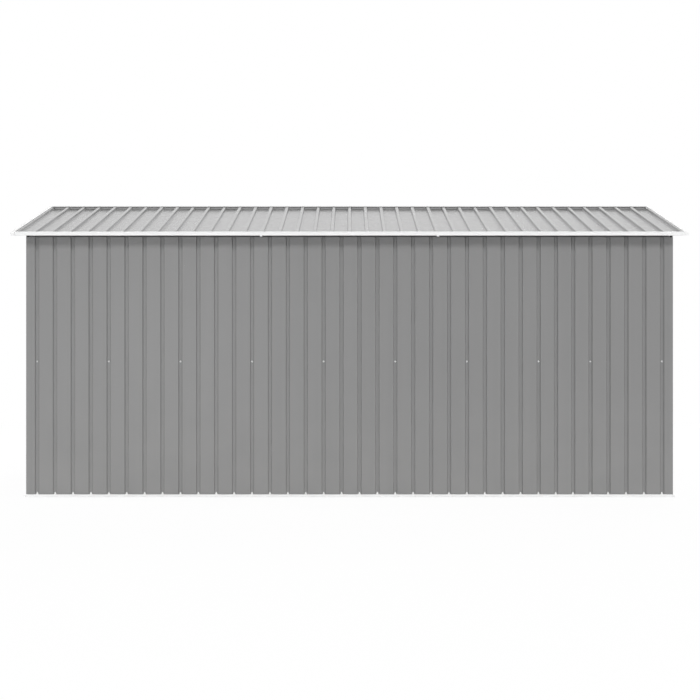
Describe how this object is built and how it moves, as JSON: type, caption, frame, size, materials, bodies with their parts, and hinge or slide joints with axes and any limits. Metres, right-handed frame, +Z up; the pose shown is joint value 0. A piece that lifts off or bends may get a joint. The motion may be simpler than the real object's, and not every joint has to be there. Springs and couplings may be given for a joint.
{
  "type": "metal storage shed",
  "caption": "Long metal garden shed of rib-rolled grey sheets on a folded steel frame, with a low gable roof, white trims and closed sliding doors at one end.",
  "frame": {"origin": "middle of the footprint, at ground level", "axes": "+X along the shed towards the door end, +Z up; the pictured long wall faces -Y"},
  "size_m": [3.92, 2.5718, 1.7957],
  "materials": {
    "grey_paint": "satin grey coating",
    "white_paint": "satin white coating",
    "zinc": "galvanised",
    "white_plastic": "moulded white plastic"
  },
  "bodies": {
    "root": {"left_top_rail": "grey_paint", "right_top_rail": "grey_paint", "left_wall_under_sheets": "grey_paint", "left_wall_over_sheets": "grey_paint", "right_wall_under_sheets": "grey_paint", "right_wall_over_sheets": "grey_paint", "rear_wall_under_sheets": "grey_paint", "rear_wall_over_sheets": "grey_paint", "front_left_wall_sheet": "grey_paint", "front_right_wall_sheet": "grey_paint", "front_left_corner_angle": "grey_paint", "front_right_corner_angle": "grey_paint", "rear_left_corner_angle": "grey_paint", "rear_right_corner_angle": "grey_paint", "front_gable_panel": "grey_paint", "rear_gable_panel": "grey_paint", "left_roof_under_sheets": "grey_paint", "left_roof_over_sheets": "grey_paint", "right_roof_under_sheets": "grey_paint", "right_roof_over_sheets": "grey_paint", "ridge_cap": "grey_paint", "left_door_sheet": "grey_paint", "right_door_sheet": "grey_paint", "left_floor_rail": "white_paint", "right_floor_rail": "white_paint", "rear_floor_rail": "white_paint", "front_floor_rail": "white_paint", "door_header": "white_paint", "left_eave_trim": "white_paint", "right_eave_trim": "white_paint", "eave_trim_clips": "white_paint", "front_gable_trims": "white_paint", "rear_gable_trims": "white_paint", "door_jambs": "white_paint", "left_door_frame": "white_paint", "right_door_frame": "white_paint", "left_mid_rail": "zinc", "right_mid_rail": "zinc", "rear_mid_rail": "zinc", "rear_top_rail": "zinc", "ridge_beam": "zinc", "left_purlin": "zinc", "right_purlin": "zinc", "door_track": "zinc", "door_handles": "white_plastic"}
  },
  "joints": []
}
